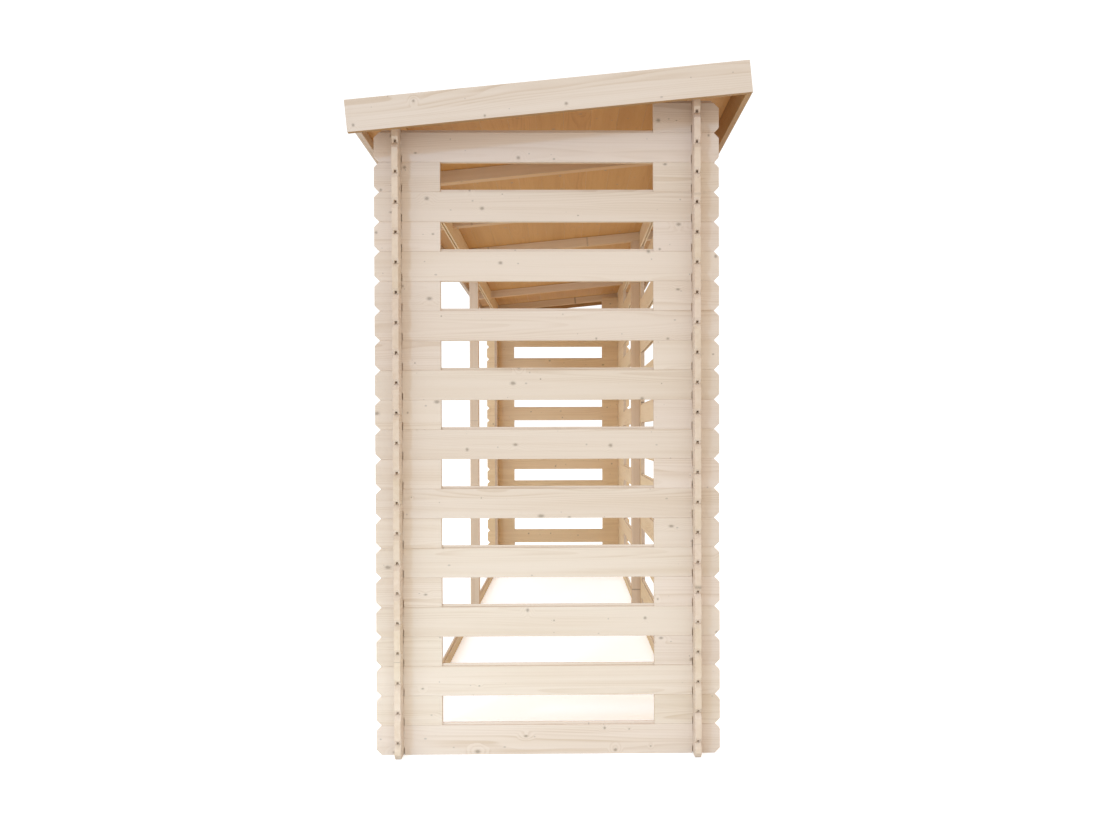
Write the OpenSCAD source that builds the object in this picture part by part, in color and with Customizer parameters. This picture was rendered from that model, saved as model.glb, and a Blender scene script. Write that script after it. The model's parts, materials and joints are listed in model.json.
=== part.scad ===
// Log store: a long, shallow shelter for firewood, open along its front.
// It is built from tongue and groove boards that cross at the corners in shallow notches.
// The end walls and the rear wall leave out every second board, so that air passes through.
// X runs along the store, -Y is the open front, +Y the rear, and Z is up.
// The origin is on the ground, under the middle of the roof.

/* [Store] */
// Length over the outer faces of the two end walls
store_len = 4800; // [3600:10:6000]
// Depth over the outer faces of the front and rear walls
store_depth = 920; // [760:10:1300]
// Courses of boards in an end wall, an odd number
courses = 21; // [11:2:25]

/* [Wall boards] */
// Thickness of a wall board
board_t = 19; // [16:1:26]
// Height that one board covers
board_h = 90; // [74:2:120]
// Height of the tongue on a board's upper edge
tongue_h = 8; // [5:1:10]
// Thickness of the tongue
tongue_t = 6; // [4:0.5:8]
// Clearance between the tongue and each side of its groove
groove_side_gap = 0.5; // [0.2:0.1:1]
// Clearance between the tongue's tip and the bottom of its groove
groove_depth_gap = 1; // [0.5:0.5:3]
// Length of a board past the wall that it crosses
board_overhang = 63; // [40:1:90]
// Size of the 45 degree cuts at a board's free end
end_cut = 16; // [8:1:18]
// Clearance on each side of a board in the notch in another board's upper edge
top_notch_gap = 0.5; // [0.5:0.5:3]
// Clearance on each side of a board in the notch in another board's lower edge
bottom_notch_gap = 2; // [0.5:0.5:3]
// Length of the short boards at the corners, over their overhang
stub_len = 200; // [140:5:280]
// Length of the rear wall's corner boards in the open courses, over their overhang
rear_stub_len = 850; // [200:10:1200]
// Length of the short boards at the middle of the rear wall
spacer_len = 200; // [120:10:600]
// Gap between the two halves of a long board where they meet
butt_gap = 0.5; // [0.2:0.1:2]

/* [Posts and rafters] */
// Width and depth of the two middle posts
post_size = 45; // [30:1:70]
// Width of a rafter
rafter_w = 45; // [30:1:70]
// Height of a rafter
rafter_h = 45; // [30:1:60]
// Distance between the inner rafters
rafter_pitch = 835; // [500:5:1000]
// Clearance on each side of a rafter in its pocket
pocket_gap = 1; // [0.5:0.5:3]
// Clearance between an end rafter and the ends of the long boards under it
end_rafter_gap = 1; // [0.5:0.5:3]

/* [Roof] */
// Roof past the front wall, along the slope
front_eave = 125; // [60:1:200]
// Roof past the rear wall, along the slope
rear_eave = 140; // [60:1:220]
// Thickness of a roof board
roof_board_t = 19; // [16:1:26]
// Gap between neighbouring roof boards
roof_gap = 0.3; // [0.2:0.1:2]
// Thickness of the fascias and of the eave strip
fascia_t = 19; // [16:1:26]
// Height of the side and rear fascias
fascia_h = 95; // [80:1:140]
// Height of the strip along the low front eave
eave_strip_h = 59; // [40:1:80]
// Height of the fascias above the roof boards
fascia_lip = 8; // [0:1:20]

/* [Hidden] */
end_courses = 2 * floor(courses / 2) + 1;
open_courses = floor(end_courses / 2);
sill_h = board_h / 2;
notch_depth = board_h / 4;
end_board_len = store_depth + 2 * board_overhang;
long_board_len = store_len + 2 * board_overhang;
half_len = (long_board_len - butt_gap) / 2;
notch_at = board_overhang + board_t / 2;
top_notch_w = board_t + 2 * top_notch_gap;
bottom_notch_w = board_t + 2 * bottom_notch_gap;
groove_w = tongue_t + 2 * groove_side_gap;
groove_h = tongue_h + groove_depth_gap;

// The roof lies on the outer top corner of the front wall and on the inner one of the rear wall,
// which is one course higher.
plate_z = sill_h + end_courses * board_h;
roof_slope = atan(board_h / (store_depth - board_t));
roof_depth = store_depth / cos(roof_slope) + front_eave + rear_eave;
roof_rows = ceil((roof_depth - 2 * fascia_t) / board_h);
roof_row_w = (roof_depth - 2 * fascia_t) / roof_rows;
// The end rafters run just past the ends of the long boards, and the side fascias lie on them.
roof_len = long_board_len + 2 * (end_rafter_gap + rafter_w + fascia_t);
roof_board_len = (roof_len - 2 * fascia_t - butt_gap) / 2;
fascia_top = roof_board_t + fascia_lip;
end_rafter_x = roof_len / 2 - fascia_t - rafter_w / 2;
rafter_xs = [for (i = [-3:3]) abs(i) == 3 ? sign(i) * end_rafter_x : i * rafter_pitch];

// The walls stand where the roof's foremost and rearmost edges are the same distance from y = 0.
front_reach = front_eave * cos(roof_slope) + fascia_top * sin(roof_slope);
rear_reach = (roof_depth - front_eave) * cos(roof_slope) + (fascia_h - fascia_top) * sin(roof_slope);
front_y = (front_reach - rear_reach) / 2;
rear_y = front_y + store_depth;
front_wall_y = front_y + board_t / 2;
rear_wall_y = rear_y - board_t / 2;
end_wall_x = (store_len - board_t) / 2;

pale_spruce = [0.90, 0.84, 0.77];
warm_spruce = [0.86, 0.77, 0.66];
slack = 1;

RAFTERS = [for (i = [1:len(rafter_xs)]) str("rafter_", i)];

// Height of the roof boards' underside at a place across the store
function roof_z(y) = plate_z + (y - front_y) * tan(roof_slope);

// Outline of a board's face from its near end at x = 0, with 45 degree cuts where near or far is
// over 0. rise carries the same cuts on past the upper edge, for the tongue.
function face_outline(len, h, near, far, rise = 0) = concat(
    near > 0 ? [[0, near], [near, 0]] : [[0, 0]],
    far > 0 ? [[len - far, 0], [len, far]] : [[len, 0]],
    far > 0 ? [[len, h - far], [len - far - rise, h + rise]] : [[len, h + rise]],
    near > 0 ? [[near + rise, h + rise], [0, h - near]] : [[0, h + rise]]
);

module face_slab(outline, thick) {
    translate([0, (board_t + thick) / 2, 0])
        rotate([90, 0, 0])
            linear_extrude(thick) polygon(outline);
}

// A wall board along +X from x = 0, its thickness from y = 0 and its lower edge at z = 0
module wall_board(len, h = board_h, near = 0, far = 0, notches = [],
                  tongue = true, groove = true, top_notch = true, bottom_notch = true) {
    difference() {
        union() {
            face_slab(face_outline(len, h, near, far), board_t);
            if (tongue) face_slab(face_outline(len, h, near, far, tongue_h), tongue_t);
        }
        if (groove)
            translate([-slack, (board_t - groove_w) / 2, -slack])
                cube([len + 2 * slack, groove_w, groove_h + slack]);
        for (x = notches) {
            if (top_notch)
                translate([x - top_notch_w / 2, -slack, h - notch_depth])
                    cube([top_notch_w, board_t + 2 * slack, notch_depth + tongue_h + slack]);
            if (bottom_notch)
                translate([x - bottom_notch_w / 2, -slack, -slack])
                    cube([bottom_notch_w, board_t + 2 * slack, notch_depth + slack]);
        }
    }
}

// Places a board of an end wall: side is 1 for the right end and -1 for the left
module on_end_wall(side, course) {
    translate([side * end_wall_x + board_t / 2, front_y - board_overhang, (course - 1) * board_h])
        rotate([0, 0, 90]) children();
}

// Places a board of the front or rear wall, half a course above those of the end walls
module on_long_wall(wall_y, x, course) {
    translate([x, wall_y - board_t / 2, sill_h + (course - 1) * board_h]) children();
}

// One end wall's full boards, with a course left open between each two
module end_boards(side) {
    for (i = [0:open_courses])
        on_end_wall(side, 2 * i + 1)
            wall_board(end_board_len, near = end_cut, far = end_cut,
                       notches = [notch_at, end_board_len - notch_at], groove = i > 0);
}

module end_front_stubs(side) {
    for (i = [1:open_courses])
        on_end_wall(side, 2 * i)
            wall_board(stub_len, near = end_cut, notches = [notch_at]);
}

// The rear stubs have one more course, up to the high side of the roof
module end_rear_stubs(side) {
    for (i = [1:open_courses + 1])
        on_end_wall(side, 2 * i)
            translate([end_board_len - stub_len, 0, 0])
                wall_board(stub_len, far = end_cut, notches = [stub_len - notch_at]);
}

// A corner stub of the front or rear wall, at the right or left end
module corner_stub(wall_y, side, course, len = stub_len) {
    if (side > 0)
        on_long_wall(wall_y, long_board_len / 2 - len, course)
            wall_board(len, far = end_cut, notches = [len - notch_at]);
    else
        on_long_wall(wall_y, -long_board_len / 2, course)
            wall_board(len, near = end_cut, notches = [notch_at]);
}

// A half-length board of the front or rear wall, at the right or left of the middle
module half_board(wall_y, side, course, tongue = true, top_notch = true) {
    if (side > 0)
        on_long_wall(wall_y, butt_gap / 2, course)
            wall_board(half_len, far = end_cut, notches = [half_len - notch_at],
                       tongue = tongue, top_notch = top_notch);
    else
        on_long_wall(wall_y, -long_board_len / 2, course)
            wall_board(half_len, near = end_cut, notches = [notch_at],
                       tongue = tongue, top_notch = top_notch);
}

// The half-height boards on the ground
module sill(wall_y) {
    translate([butt_gap / 2, wall_y - board_t / 2, 0])
        wall_board(half_len, sill_h, far = end_cut, notches = [half_len - notch_at],
                   groove = false, bottom_notch = false);
    translate([-long_board_len / 2, wall_y - board_t / 2, 0])
        wall_board(half_len, sill_h, near = end_cut, notches = [notch_at],
                   groove = false, bottom_notch = false);
}

// Moves its children into the roof's own frame: y up the slope from the front edge, and z = 0 on
// the underside of the roof boards
module on_roof() {
    translate([0, front_y, plate_z])
        rotate([roof_slope, 0, 0])
            translate([0, -front_eave, 0]) children();
}

module rafter(x, side_gap = 0) {
    on_roof()
        translate([x - rafter_w / 2 - side_gap, fascia_t, -rafter_h])
            cube([rafter_w + 2 * side_gap, roof_depth - 2 * fascia_t, rafter_h + side_gap]);
}

module rafter_pockets() {
    for (i = [1:len(rafter_xs) - 2]) rafter(rafter_xs[i], pocket_gap);
}

module front_header() {
    difference() {
        for (side = [-1, 1])
            half_board(front_wall_y, side, end_courses, tongue = false, top_notch = false);
        rafter_pockets();
    }
}

// The rear wall's full-length courses, in halves; the top one carries the rafters
module rear_boards(side) {
    for (i = [1:open_courses])
        half_board(rear_wall_y, side, 2 * i);
    difference() {
        half_board(rear_wall_y, side, end_courses + 1, tongue = false, top_notch = false);
        rafter_pockets();
    }
}

module rear_stubs(side) {
    for (i = [0:open_courses]) corner_stub(rear_wall_y, side, 2 * i + 1, rear_stub_len);
}

module rear_middle_spacers() {
    for (i = [0:open_courses])
        on_long_wall(rear_wall_y, -spacer_len / 2, 2 * i + 1) wall_board(spacer_len);
}

// A post from the ground to the underside of the middle rafter, its outer face at y
module post(y) {
    drop = rafter_h / cos(roof_slope);
    translate([-post_size / 2, 0, 0])
        rotate([90, 0, 90])
            linear_extrude(post_size)
                polygon([
                    [y, 0],
                    [y + post_size, 0],
                    [y + post_size, roof_z(y + post_size) - drop],
                    [y, roof_z(y) - drop]
                ]);
}

// Section of a roof board, its groove towards the front and its tongue towards the rear
function roof_section(tongue) = let (
    w = roof_row_w - roof_gap,
    tongue_lo = (roof_board_t - tongue_t) / 2,
    tongue_hi = (roof_board_t + tongue_t) / 2,
    groove_lo = (roof_board_t - groove_w) / 2,
    groove_hi = (roof_board_t + groove_w) / 2
) concat(
    [[0, 0], [w, 0]],
    tongue ? [[w, tongue_lo], [w + tongue_h, tongue_lo], [w + tongue_h, tongue_hi], [w, tongue_hi]] : [],
    [[w, roof_board_t], [0, roof_board_t]],
    [[0, groove_hi], [groove_h, groove_hi], [groove_h, groove_lo], [0, groove_lo]]
);

module roof_boards(side) {
    start = side > 0 ? butt_gap / 2 : -butt_gap / 2 - roof_board_len;
    for (row = [0:roof_rows - 1])
        on_roof()
            translate([start, fascia_t + row * roof_row_w, 0])
                rotate([90, 0, 90])
                    linear_extrude(roof_board_len) polygon(roof_section(row < roof_rows - 1));
}

module side_fascia(side) {
    x = side > 0 ? roof_len / 2 - fascia_t : -roof_len / 2;
    on_roof()
        translate([x, 0, fascia_top - fascia_h]) cube([fascia_t, roof_depth, fascia_h]);
}

// A board along an eave, between the side fascias, in two halves
module eave_board(y, h) {
    for (x = [butt_gap / 2, -butt_gap / 2 - roof_board_len])
        on_roof()
            translate([x, y, fascia_top - h]) cube([roof_board_len, fascia_t, h]);
}

color(pale_spruce) end_boards(1);  // right_end_boards
color(pale_spruce) end_front_stubs(1);  // right_end_front_stubs
color(pale_spruce) end_rear_stubs(1);  // right_end_rear_stubs
color(pale_spruce) end_boards(-1);  // left_end_boards
color(pale_spruce) end_front_stubs(-1);  // left_end_front_stubs
color(pale_spruce) end_rear_stubs(-1);  // left_end_rear_stubs
color(pale_spruce) sill(front_wall_y);  // front_sill
color(pale_spruce) front_header();
color(pale_spruce) for (i = [0:open_courses - 1]) corner_stub(front_wall_y, 1, 2 * i + 1);  // front_right_stubs_odd
color(pale_spruce) for (i = [1:open_courses]) corner_stub(front_wall_y, 1, 2 * i);  // front_right_stubs_even
color(pale_spruce) for (i = [0:open_courses - 1]) corner_stub(front_wall_y, -1, 2 * i + 1);  // front_left_stubs_odd
color(pale_spruce) for (i = [1:open_courses]) corner_stub(front_wall_y, -1, 2 * i);  // front_left_stubs_even
color(pale_spruce) sill(rear_wall_y);  // rear_sill
color(pale_spruce) rear_boards(1);  // rear_right_boards
color(pale_spruce) rear_boards(-1);  // rear_left_boards
color(pale_spruce) rear_stubs(1);  // rear_right_stubs
color(pale_spruce) rear_stubs(-1);  // rear_left_stubs
color(pale_spruce) rear_middle_spacers();
color(warm_spruce) post(front_y + board_t);  // front_post
color(warm_spruce) post(rear_y - board_t - post_size);  // rear_post
for (i = [0:len(rafter_xs) - 1])
    color(warm_spruce) rafter(rafter_xs[i]);
color(warm_spruce) roof_boards(1);  // roof_boards_right
color(warm_spruce) roof_boards(-1);  // roof_boards_left
color(pale_spruce) side_fascia(1);  // side_fascia_right
color(pale_spruce) side_fascia(-1);  // side_fascia_left
color(pale_spruce) eave_board(roof_depth - fascia_t, fascia_h);  // rear_fascia
color(pale_spruce) eave_board(0, eave_strip_h);  // front_eave_strip
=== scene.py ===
"""The looks of the log store: every board planed, eased along its edges and grained like spruce.

Each board of the frame is taken as it was cut, with its notches, tongue and groove. It gets
small rounded arrises and its own grain, which runs through the wood: rings show as lines and
flames on the faces and as arcs on the ends. Lengths are in metres.
"""

import json
import math
import random

import bmesh
import bpy
import numpy as np
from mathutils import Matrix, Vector


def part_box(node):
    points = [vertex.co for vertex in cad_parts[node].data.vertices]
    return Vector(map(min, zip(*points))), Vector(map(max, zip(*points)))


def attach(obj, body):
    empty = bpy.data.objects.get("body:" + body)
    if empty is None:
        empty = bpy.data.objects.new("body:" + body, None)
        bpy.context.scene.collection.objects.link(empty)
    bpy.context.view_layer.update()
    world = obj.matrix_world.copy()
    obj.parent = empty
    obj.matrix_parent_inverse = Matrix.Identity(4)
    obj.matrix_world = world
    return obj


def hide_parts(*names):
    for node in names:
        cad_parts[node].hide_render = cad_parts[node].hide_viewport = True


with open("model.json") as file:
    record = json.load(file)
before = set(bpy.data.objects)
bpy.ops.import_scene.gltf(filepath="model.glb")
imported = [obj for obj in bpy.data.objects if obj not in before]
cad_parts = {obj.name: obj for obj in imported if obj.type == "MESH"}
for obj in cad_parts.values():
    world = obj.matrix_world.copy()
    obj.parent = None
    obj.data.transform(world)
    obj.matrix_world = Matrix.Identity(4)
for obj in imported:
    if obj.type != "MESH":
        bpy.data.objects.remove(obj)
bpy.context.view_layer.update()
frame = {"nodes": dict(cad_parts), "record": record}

# Places on the store
RIGHT_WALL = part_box("right_end_boards")[1].x
WALLS_MIDDLE = (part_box("front_sill")[0].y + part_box("rear_sill")[1].y) / 2
STORE_MIDDLE = np.array([0.0, WALLS_MIDDLE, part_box("rear_post")[1].z / 2])

# Boards
WELD = 1e-5  # corners closer than this are one corner
FLAT = math.radians(0.5)  # sides that meet at less than this are one side
SHARP = math.radians(30)  # edges that turn by more than this are eased
SPECK = 1e-6  # areas below this have no direction
ARRIS_STEPS = 2
ARRIS = {
    "wall_boards": 0.0012,
    "posts_and_rafters": 0.002,
    "roof_boards": 0.0003,
    "fascias": 0.0015,
}

# Painted shade and warm bounce light: a warmer, mostly darker tone on undersides and on faces
# towards the store's middle, standing in for the dim, warm light under the roof. From 0 on faces in
# open light to 1.
UNDERSIDE = -0.8  # a side is an underside if its normal's height is below this
BROAD = 0.7  # a side is a board's broad face if its normal is this much along the thickness
# share of the painted shade on the sides of the rafters
RAFTER_SIDE_SHADE = 0.15
PAINTED_SHADE_SHARE = {"front_eave_strip": 0.0}  # share of the painted shade on a node whose faces are in open light, 1 elsewhere

# Spruce. Colours are linear. A tint multiplies the colour under it, and MOST is its full share.
LATE = (0.80, 0.72, 0.62)  # late wood's colour, as shares of the early wood's
LATE_TONES = (0.4, 0.66)  # tones between which the late wood goes from faint to strong
LATE_SHARE = (0.12, 0.55)
WARM_TINTS = (1.0, 0.98, 0.94), (1.0, 0.97, 0.965)  # a board's own warmth lies between these
STREAK_TINT = (0.86, 0.80, 0.70)
STREAK_TONES = (0.35, 0.72)
STREAK_MOST = 0.4
GREY_TINT = (0.80, 0.78, 0.74)  # some boards are greyer than others
GREY_MOST = 0.16
END_GRAIN_TINT = (0.86, 0.74, 0.56)
END_GRAIN_CUTS = (0.5, 1.0)
END_GRAIN_MOST = 0.35
KNOT_COLOUR = (0.30, 0.21, 0.13)
KNOT_MOST = 0.3
HEART_COLOUR = (0.16, 0.12, 0.08)
HEART_MOST = 0.45
PIN_COLOUR = (0.22, 0.17, 0.13)
PIN_MOST = 0.4
FIBRE_RANGE = (0.3, 0.7)
ROUGHNESS = (0.52, 0.68)
KNOT_SMOOTHER = 0.15
SHINE = 0.3
LATE_HEIGHT = 0.5  # late wood stands proud and knot hearts lie low, in shares of the relief
HEART_DEPTH = 0.8
RELIEF = 0.0004
RELIEF_SHARE = 0.25
RING_WIDTH = 0.0032
KNOT = {"Patch Length": 0.21, "Patch Width": 0.06, "Radius": 0.0055, "Share": 0.6}
PIN_KNOT = {"Patch Length": 0.13, "Patch Width": 0.04, "Radius": 0.002, "Share": 0.4}
WALL_FADE = 0.008  # depth inside the end walls' outer faces over which the painted shade sets in

# Knots, with reaches in knot radii. The first reach is outside, the second inside.
KNOT_SCATTER = 61.0  # patches between the starts of two boards
KNOT_SIZES = (0.45, 1.4)
KNOT_SHORTENING = (0.55, 1.2)  # below 1 a knot is drawn out along the grain
RAGGED_SCALE = 260.0
RAGGED = 0.5
KNOT_REACH = (1.25, 0.55)
HEART_REACH = (0.75, 0.3)
PUSH_REACH = (4.0, 0.4)  # how far the rings give way

# Rings. The triples are scales along, across and through the board.
RING_SCATTER = 17.0  # metres between the starts of two boards
WANDER_SCALE = (1.1, 9.0, 9.0)
WANDER = 0.03
LEAN = 0.05  # the pith's slope along the board, from one side's most to the other's
PITH_ACROSS = (-0.05, 0.05)
PITH_BELOW = (0.02, 0.11)
LATE_RISE = (0.35, 0.9)  # in shares of a year
LATE_FALL = (1.0, 0.94)
NARROW_TONE_SCALE = (1.6, 70.0, 70.0)
BROAD_TONE_SCALE = (0.9, 12.0, 12.0)
FIBRE_SCALE = (25.0, 1400.0, 1400.0)

# Camera, measured from the right end wall's outer face and the middle between the long walls
CAMERA_AWAY = 3.358
CAMERA_TO_REAR = 0.0552
CAMERA_HEIGHT = 0.974
CAMERA_TURN = (-0.0117, 0.0032, -0.0144)  # radians: tilt, roll and turn from straight along X
LENS = 36.14  # millimetres, on a sensor 36 wide
SHIFT = (-0.0288, 0.0322)

# Studio
WHITE = (1.0, 1.0, 1.0, 1.0)
WORLD_STRENGTH = 1.14
FLOOR_HALF = 60.0
FLOOR_SEEN = (0.95, 0.95, 0.95, 1.0)  # the floor's colour to the camera
FLOOR_LIT = (0.8, 0.8, 0.8, 1.0)  # the floor's colour to the light that it sends back
FLOOR_GLOW = 0.38


def welded(mesh):
    """A node's mesh with its corners joined and every flat side one face again."""
    solid = bmesh.new()
    solid.from_mesh(mesh)
    bmesh.ops.remove_doubles(solid, verts=solid.verts, dist=WELD)
    bmesh.ops.dissolve_limit(solid, angle_limit=FLAT, verts=solid.verts, edges=solid.edges)
    return solid


def lifted(faces):
    """A new bmesh that holds only these faces."""
    board = bmesh.new()
    corners = {}
    for face in faces:
        for corner in face.verts:
            if corner not in corners:
                corners[corner] = board.verts.new(corner.co)
        board.faces.new([corners[corner] for corner in face.verts])
    bmesh.ops.recalc_face_normals(board, faces=board.faces)
    return board


def boards_of(solid):
    """The separate boards of a node, sorted by their place."""
    left = dict.fromkeys(solid.faces)  # in a fixed order, unlike a set
    found = []
    while left:
        board, reached = [], [left.popitem()[0]]
        while reached:
            face = reached.pop()
            board.append(face)
            for edge in face.edges:
                for neighbour in edge.link_faces:
                    if neighbour in left:
                        del left[neighbour]
                        reached.append(neighbour)
        found.append(lifted(board))
    return sorted(found, key=lambda board: [round(x, 3) for x in middle(board)])


def middle(board):
    """Middle of a board's box."""
    places = np.array([v.co for v in board.verts])
    return (places.min(0) + places.max(0)) / 2


def main_axis(vectors):
    """The direction that most of these vectors lie along, pointing to a positive side."""
    vectors = np.array(vectors)
    spread = vectors / np.linalg.norm(vectors, axis=1, keepdims=True) ** 0.5
    axis = np.linalg.eigh(spread.T @ spread)[1][:, -1]
    return axis * np.sign(axis[np.abs(axis).argmax()])


def grain_axes(board):
    """Unit vectors along the grain, across the board's face and through its thickness."""
    along = main_axis([e.verts[1].co - e.verts[0].co for e in board.edges])
    sides = [np.array(f.normal) * f.calc_area() for f in board.faces]
    sides = [side - along * (side @ along) for side in sides]
    through = main_axis([side for side in sides if np.linalg.norm(side) > SPECK])
    return np.array([along, np.cross(through, along), through])


def ease_arrises(board, width):
    """Rounds a board's outer edges, as a planer and sandpaper leave them."""
    sharp = [e for e in board.edges if e.is_convex and e.calc_face_angle() > SHARP]
    bmesh.ops.bevel(
        board,
        geom=sharp,
        offset=width,
        offset_type="OFFSET",
        segments=ARRIS_STEPS,
        profile=0.5,
        affect="EDGES",
        clamp_overlap=True,
    )


def painted_shade_of(node, face, through):
    """How much painted shade a side gets, from 0 to 1: a warmer, mostly darker tone that stands in
    for the dim light under the roof.

    It gets it in full on undersides and on the broad faces towards the store's middle, and a little
    of it on the sides of the rafters.
    """
    normal = np.array(face.normal)
    inward = STORE_MIDDLE - np.array(face.calc_center_median())
    faces_in = abs(normal @ through) > BROAD and normal @ inward > 0
    if normal[2] < UNDERSIDE or faces_in:
        return PAINTED_SHADE_SHARE.get(node, 1.0)
    return RAFTER_SIDE_SHADE if node.startswith("rafter") else 0.0


def planed(node, slot):
    """The boards of a node as one piece that stands for it, with what its grain needs to know.

    grain: place in the board's own axes, along, across and through, from its middle
    board: three random shares that are the board's own
    cut: how far a side is cut across the grain, from 0 to 1
    inner: how much painted shade a side gets, from 0 to 1
    """
    points, faces, grain, own, cut, inner = [], [], [], [], [], []
    for number, board in enumerate(boards_of(welded(frame["nodes"][node].data))):
        centre, axes = middle(board), grain_axes(board)
        ease_arrises(board, ARRIS[slot])
        board.verts.index_update()
        places = np.array([v.co for v in board.verts])
        faces += [[v.index + len(points) for v in f.verts] for f in board.faces]
        points += places.tolist()
        grain += ((places - centre) @ axes.T).tolist()
        chance = random.Random(f"{node} {number}")
        own += [[chance.random() for _ in range(3)]] * len(places)
        cut += [abs(float(np.array(f.normal) @ axes[0])) for f in board.faces]
        inner += [painted_shade_of(node, f, axes[2]) for f in board.faces]
        board.free()
    mesh = bpy.data.meshes.new(f"{node}_planed")
    mesh.from_pydata(points, [], faces)
    for name, kind, domain, key, values in (
        ("grain", "FLOAT_VECTOR", "POINT", "vector", grain),
        ("board", "FLOAT_VECTOR", "POINT", "vector", own),
        ("cut", "FLOAT", "FACE", "value", cut),
        ("inner", "FLOAT", "FACE", "value", inner),
    ):
        attribute = mesh.attributes.new(name, kind, domain)
        attribute.data.foreach_set(key, np.array(values).ravel())
    mesh.materials.append(WOOD[slot])
    piece = bpy.data.objects.new(f"{node}_planed", mesh)
    bpy.context.scene.collection.objects.link(piece)
    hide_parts(node)
    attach(piece, "root")


def place(tree, kind, inputs=None, **settings):
    """A new shader node. inputs gives each socket a value or the output that feeds it."""
    made = tree.nodes.new(kind)
    for name, value in settings.items():
        setattr(made, name, value)
    for socket, value in (inputs or {}).items():
        if isinstance(value, bpy.types.NodeSocket):
            tree.links.new(value, made.inputs[socket])
        else:
            made.inputs[socket].default_value = value
    return made


def maths(tree, operation, *values):
    """The output of a Math node."""
    made = place(tree, "ShaderNodeMath", dict(enumerate(values)), operation=operation)
    return made.outputs[0]


def vectors(tree, operation, *values):
    """The vector output of a Vector Math node."""
    made = place(tree, "ShaderNodeVectorMath", dict(enumerate(values)), operation=operation)
    return made.outputs["Vector"]


def scaled(tree, vector, share):
    """A vector times a number."""
    made = place(tree, "ShaderNodeVectorMath", {0: vector, "Scale": share}, operation="SCALE")
    return made.outputs["Vector"]


def split(tree, vector):
    """The X, Y and Z of a vector."""
    return place(tree, "ShaderNodeSeparateXYZ", {0: vector}).outputs


def joined(tree, **parts):
    """A vector of these X, Y and Z."""
    return place(tree, "ShaderNodeCombineXYZ", parts).outputs[0]


def ramp(tree, value, start, end, low=0.0, high=1.0):
    """value mapped smoothly from start..end to low..high."""
    made = place(
        tree,
        "ShaderNodeMapRange",
        {"Value": value, "From Min": start, "From Max": end, "To Min": low, "To Max": high},
        interpolation_type="SMOOTHSTEP",
    )
    return made.outputs["Result"]


def blended(tree, share, first, second, how="MIX"):
    """The colour output of a colour Mix node. Sockets 6 and 7 are its two colours."""
    made = place(
        tree,
        "ShaderNodeMix",
        {0: share, 6: first, 7: second},
        data_type="RGBA",
        blend_type=how,
    )
    return made.outputs[2]


def noise(tree, vector, scale=1.0, detail=2.0):
    """The 0 to 1 value of a Noise Texture."""
    made = place(
        tree,
        "ShaderNodeTexNoise",
        {"Vector": vector, "Scale": scale, "Detail": detail},
    )
    return made.outputs["Fac"]


def swing(tree, value, most):
    """A 0 to 1 value moved to swing round 0, times most."""
    return maths(tree, "MULTIPLY", maths(tree, "SUBTRACT", value, 0.5), most)


def new_group(name, inputs, outputs):
    """An empty node group with those sockets, and its input and output nodes' sockets."""
    group = bpy.data.node_groups.new(name, "ShaderNodeTree")
    kinds = {"value": "NodeSocketFloat", "vector": "NodeSocketVector"}
    for socket, (kind, start) in inputs.items():
        made = group.interface.new_socket(socket, in_out="INPUT", socket_type=kinds[kind])
        made.default_value = start
    for socket in outputs:
        group.interface.new_socket(socket, in_out="OUTPUT", socket_type=kinds["value"])
    given = group.nodes.new("NodeGroupInput").outputs
    return group, given, group.nodes.new("NodeGroupOutput").inputs


def use(tree, group, inputs):
    """Places a node group in a material and gives its outputs."""
    return place(tree, "ShaderNodeGroup", inputs, node_tree=group).outputs


def knots_group():
    """Knots strewn over a board, one to a patch of it and only in some of the patches.

    Knot and Heart are masks. Push is how far the rings give way round the knots.
    """
    group, given, out = new_group(
        "spruce_knots",
        {
            "Grain": ("vector", (0, 0, 0)),
            "Board": ("vector", (0, 0, 0)),
            "Patch Length": ("value", 0.2),
            "Patch Width": ("value", 0.05),
            "Radius": ("value", 0.008),
            "Share": ("value", 0.5),
        },
        ["Knot", "Heart", "Push"],
    )
    patch = joined(group, X=given["Patch Length"], Y=given["Patch Width"], Z=1.0)
    in_patches = vectors(group, "DIVIDE", given["Grain"], patch)
    spot = vectors(group, "ADD", in_patches, scaled(group, given["Board"], KNOT_SCATTER))
    cells = place(
        group,
        "ShaderNodeTexVoronoi",
        {"Vector": spot, "Scale": 1.0},
        voronoi_dimensions="2D",
    ).outputs
    cell = place(group, "ShaderNodeSeparateColor", {"Color": cells["Color"]}).outputs
    away = vectors(group, "SUBTRACT", spot, cells["Position"])
    away = vectors(group, "MULTIPLY", away, patch)
    shortening = joined(group, X=ramp(group, cell["Blue"], 0, 1, *KNOT_SHORTENING), Y=1.0)
    away = vectors(group, "MULTIPLY", away, shortening)
    distance = place(group, "ShaderNodeVectorMath", {0: away}, operation="LENGTH")
    size = ramp(group, cell["Red"], 0, 1, *KNOT_SIZES)
    radius = maths(group, "MULTIPLY", given["Radius"], size)
    there = maths(group, "LESS_THAN", cell["Green"], given["Share"])
    ragged = swing(group, noise(group, given["Grain"], RAGGED_SCALE), RAGGED)
    reach = maths(group, "DIVIDE", distance.outputs["Value"], radius)
    reach = maths(group, "ADD", reach, ragged)
    for name, ends, most in (
        ("Knot", KNOT_REACH, there),
        ("Heart", HEART_REACH, there),
        ("Push", PUSH_REACH, maths(group, "MULTIPLY", radius, there)),
    ):
        group.links.new(maths(group, "MULTIPLY", ramp(group, reach, *ends), most), out[name])
    return group


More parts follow.
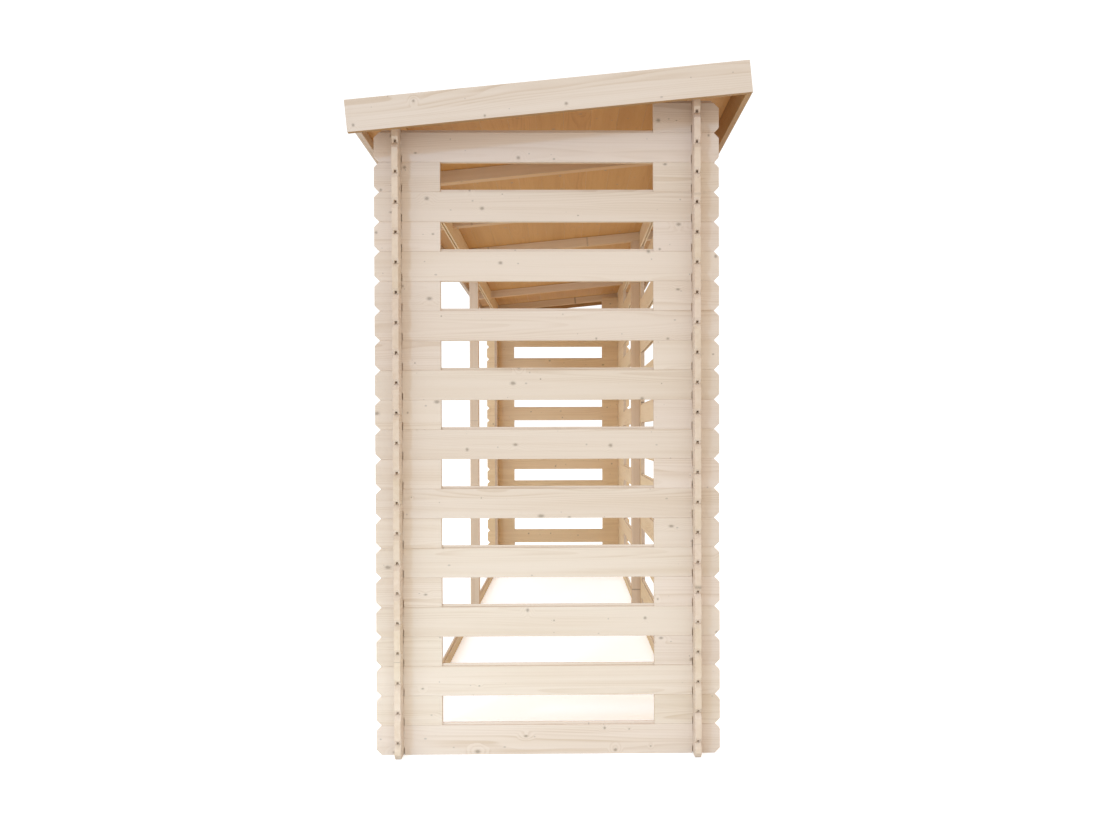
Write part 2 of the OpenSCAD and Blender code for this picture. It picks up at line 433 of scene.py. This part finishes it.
def rings_group():
    """Growth rings round a pith beside the board, with the slow tone and fine fibre of spruce."""
    group, given, out = new_group(
        "spruce_rings",
        {
            "Grain": ("vector", (0, 0, 0)),
            "Board": ("vector", (0, 0, 0)),
            "Push": ("value", 0.0),
            "Ring Width": ("value", 0.003),
        },
        ["Late Wood", "Tone", "Fibre"],
    )
    at = split(group, given["Grain"])
    chance = split(group, given["Board"])
    own = vectors(group, "ADD", given["Grain"], scaled(group, given["Board"], RING_SCATTER))
    wander = swing(group, noise(group, vectors(group, "MULTIPLY", own, WANDER_SCALE)), WANDER)
    pith_across = ramp(group, chance["X"], 0, 1, *PITH_ACROSS)
    lean = swing(group, chance["Z"], LEAN)
    pith_across = maths(group, "MULTIPLY_ADD", at["X"], lean, pith_across)
    pith_below = ramp(group, chance["Y"], 0, 1, *PITH_BELOW)
    across = maths(group, "SUBTRACT", at["Y"], pith_across)
    below = maths(group, "ADD", at["Z"], pith_below)
    across = maths(group, "MULTIPLY", across, across)
    below = maths(group, "MULTIPLY", below, below)
    radius = maths(group, "SQRT", maths(group, "ADD", across, below))
    radius = maths(group, "ADD", maths(group, "ADD", radius, wander), given["Push"])
    year = maths(group, "FRACT", maths(group, "DIVIDE", radius, given["Ring Width"]))
    rise = ramp(group, year, *LATE_RISE)
    late = maths(group, "MULTIPLY", rise, ramp(group, year, *LATE_FALL))
    narrow = noise(group, vectors(group, "MULTIPLY", own, NARROW_TONE_SCALE), detail=3.0)
    broad = noise(group, vectors(group, "MULTIPLY", own, BROAD_TONE_SCALE), detail=1.0)
    tone = maths(group, "MULTIPLY_ADD", narrow, 0.5, maths(group, "MULTIPLY", broad, 0.5))
    fibre = noise(group, vectors(group, "MULTIPLY", own, FIBRE_SCALE))
    for name, value in (("Late Wood", late), ("Tone", tone), ("Fibre", fibre)):
        group.links.new(value, out[name])
    return group


def between_walls(tree):
    """Mask that is 1 between the two end walls and 0 at their outer faces and beyond."""
    position = split(tree, place(tree, "ShaderNodeTexCoord").outputs["Object"])
    to_side = maths(tree, "ABSOLUTE", position["X"])
    return ramp(tree, to_side, RIGHT_WALL, RIGHT_WALL - WALL_FADE)


def spruce(name, early, painted_shade_tint, only_between_walls=False):
    """Planed, untreated spruce, with painted shade: a warmer, mostly darker tint on its sheltered
    faces.
    """
    material = bpy.data.materials.new(name)
    material.use_nodes = True
    tree = material.node_tree
    shader = tree.nodes["Principled BSDF"]
    grain, board, cut, inner = (
        place(tree, "ShaderNodeAttribute", attribute_name=attribute).outputs[output]
        for attribute, output in (
            ("grain", "Vector"),
            ("board", "Vector"),
            ("cut", "Fac"),
            ("inner", "Fac"),
        )
    )
    where = {"Grain": grain, "Board": board}
    knots = use(tree, KNOTS, {**where, **KNOT})
    pins = use(tree, KNOTS, {**where, **PIN_KNOT})
    rings = use(tree, RINGS, {**where, "Push": knots["Push"], "Ring Width": RING_WIDTH})
    own = split(tree, board)
    # On the wall boards the painted shade is kept off the end walls' outer faces.
    if only_between_walls:
        inner = maths(tree, "MULTIPLY", inner, between_walls(tree))

    late = [share * part for share, part in zip(early, LATE)]
    contrast = ramp(tree, rings["Tone"], *LATE_TONES, *LATE_SHARE)
    contrast = maths(tree, "MULTIPLY", rings["Late Wood"], contrast)
    colour = blended(tree, contrast, (*early, 1), (*late, 1))
    warmth = blended(tree, own["Y"], *((*tint, 1) for tint in WARM_TINTS))
    # The first layer paints shade and warm bounce light onto the sheltered faces.
    for share, layer, how in (
        (inner, painted_shade_tint, "MULTIPLY"),
        (1.0, warmth, "MULTIPLY"),
        (ramp(tree, rings["Tone"], *STREAK_TONES, 0.0, STREAK_MOST), STREAK_TINT, "MULTIPLY"),
        (ramp(tree, own["X"], 0, 1, 0.0, GREY_MOST), GREY_TINT, "MULTIPLY"),
        (ramp(tree, cut, *END_GRAIN_CUTS, 0.0, END_GRAIN_MOST), END_GRAIN_TINT, "MULTIPLY"),
        (maths(tree, "MULTIPLY", knots["Knot"], KNOT_MOST), KNOT_COLOUR, "MIX"),
        (maths(tree, "MULTIPLY", knots["Heart"], HEART_MOST), HEART_COLOUR, "MIX"),
        (maths(tree, "MULTIPLY", pins["Knot"], PIN_MOST), PIN_COLOUR, "MIX"),
    ):
        layer = layer if isinstance(layer, bpy.types.NodeSocket) else (*layer, 1)
        colour = blended(tree, share, colour, layer, how)
    tree.links.new(colour, shader.inputs["Base Color"])

    rough = ramp(tree, rings["Fibre"], *FIBRE_RANGE, *ROUGHNESS)
    smoother = maths(tree, "MULTIPLY", knots["Knot"], KNOT_SMOOTHER)
    tree.links.new(maths(tree, "SUBTRACT", rough, smoother), shader.inputs["Roughness"])
    shader.inputs["Specular IOR Level"].default_value = SHINE

    height = maths(tree, "MULTIPLY_ADD", rings["Late Wood"], LATE_HEIGHT, rings["Fibre"])
    hollow = maths(tree, "MULTIPLY", knots["Heart"], HEART_DEPTH)
    bump = place(
        tree,
        "ShaderNodeBump",
        {
            "Height": maths(tree, "SUBTRACT", height, hollow),
            "Strength": RELIEF_SHARE,
            "Distance": RELIEF,
        },
    )
    tree.links.new(bump.outputs["Normal"], shader.inputs["Normal"])
    return material


def pale_floor():
    """A wide pale floor, not part of the store."""
    material = bpy.data.materials.new("pale_floor")
    material.use_nodes = True
    tree = material.node_tree
    shader = tree.nodes["Principled BSDF"]
    seen = place(tree, "ShaderNodeLightPath").outputs["Is Camera Ray"]
    tree.links.new(blended(tree, seen, FLOOR_LIT, FLOOR_SEEN), shader.inputs["Base Color"])
    shader.inputs["Roughness"].default_value = 0.9
    shader.inputs["Emission Color"].default_value = WHITE
    glow = maths(tree, "MULTIPLY", seen, FLOOR_GLOW)
    tree.links.new(glow, shader.inputs["Emission Strength"])
    mesh = bpy.data.meshes.new("floor")
    corners = [(x * FLOOR_HALF, y * FLOOR_HALF, 0) for x, y in ((-1, -1), (1, -1), (1, 1), (-1, 1))]
    mesh.from_pydata(corners, [], [(0, 1, 2, 3)])
    mesh.materials.append(material)
    floor = bpy.data.objects.new("floor", mesh)
    bpy.context.scene.collection.objects.link(floor)


def studio_light():
    """Even white light from all round, a small cool lamp and a low one at the end wall's foot."""
    world = bpy.data.worlds.new("studio")
    world.use_nodes = True
    backing = world.node_tree.nodes["Background"]
    backing.inputs["Color"].default_value = WHITE
    backing.inputs["Strength"].default_value = WORLD_STRENGTH
    bpy.context.scene.world = world
    end_wall = Vector((RIGHT_WALL, 0.0, 1.1))
    lamp(
        "key",
        shape="DISK",
        size=(0.6, 0.6),
        watts=156.0,
        colour=(0.31, 0.57, 1.0),
        at=end_wall + turned(28, 22) * 8.0,
        target=end_wall,
    )
    foot = Vector((RIGHT_WALL, 0.0, 0.2))
    lamp(
        "low_fill",
        shape="RECTANGLE",
        size=(2.0, 0.2),
        watts=5.0,
        colour=(0.58, 0.81, 1.0),
        at=foot + Vector((0.9, -0.25, -0.05)),
        target=foot,
    )


def turned(to_front, up):
    """Unit vector out from the right end wall, turned to the front and up by these degrees."""
    to_front, up = math.radians(to_front), math.radians(up)
    level = math.cos(up)
    return Vector((math.cos(to_front) * level, -math.sin(to_front) * level, math.sin(up)))


def lamp(name, shape, size, watts, colour, at, target):
    """A lamp that doesn't show itself."""
    light = bpy.data.lights.new(name, "AREA")
    light.shape = shape
    light.size, light.size_y = size
    light.energy = watts
    light.color = colour
    made = bpy.data.objects.new(name, light)
    made.location = at
    made.rotation_euler = (target - at).to_track_quat("-Z", "Y").to_euler()
    made.visible_camera = False
    bpy.context.scene.collection.objects.link(made)


def camera():
    """The camera stands off the right end wall and looks along the store."""
    lens = bpy.data.cameras.new("camera")
    lens.lens = LENS
    lens.sensor_width = 36.0
    lens.shift_x, lens.shift_y = SHIFT
    lens.clip_end = 200.0
    made = bpy.data.objects.new("camera", lens)
    made.location = (RIGHT_WALL + CAMERA_AWAY, WALLS_MIDDLE + CAMERA_TO_REAR, CAMERA_HEIGHT)
    tilt, roll, turn = CAMERA_TURN
    made.rotation_euler = (math.radians(90) + tilt, roll, math.radians(90) + turn)
    bpy.context.scene.collection.objects.link(made)
    bpy.context.scene.camera = made


camera()
KNOTS = knots_group()
RINGS = rings_group()
# The tint after each early colour is painted shade and warm bounce light on sheltered faces: darker
# and browner on the fascias, roof and framing, warmer on the wall boards.
WOOD = {
    "wall_boards": spruce(
        "wall_spruce",
        early=(0.713, 0.586, 0.464),
        painted_shade_tint=(1.196, 1.133, 0.908),
        only_between_walls=True,
    ),
    "posts_and_rafters": spruce(
        "framing_spruce",
        early=(0.80, 0.66, 0.50),
        painted_shade_tint=(0.906, 0.74, 0.53),
    ),
    "roof_boards": spruce(
        "roof_spruce",
        early=(0.66, 0.56, 0.45),
        painted_shade_tint=(0.98, 0.635, 0.27),
    ),
    "fascias": spruce(
        "fascia_spruce",
        early=(0.705, 0.589, 0.462),
        painted_shade_tint=(0.595, 0.41, 0.21),
    ),
}
for subpart in frame["record"]["subparts"]:
    planed(subpart["node"], subpart["material_slot"])
pale_floor()
studio_light()
bpy.context.scene.view_settings.view_transform = "Standard"
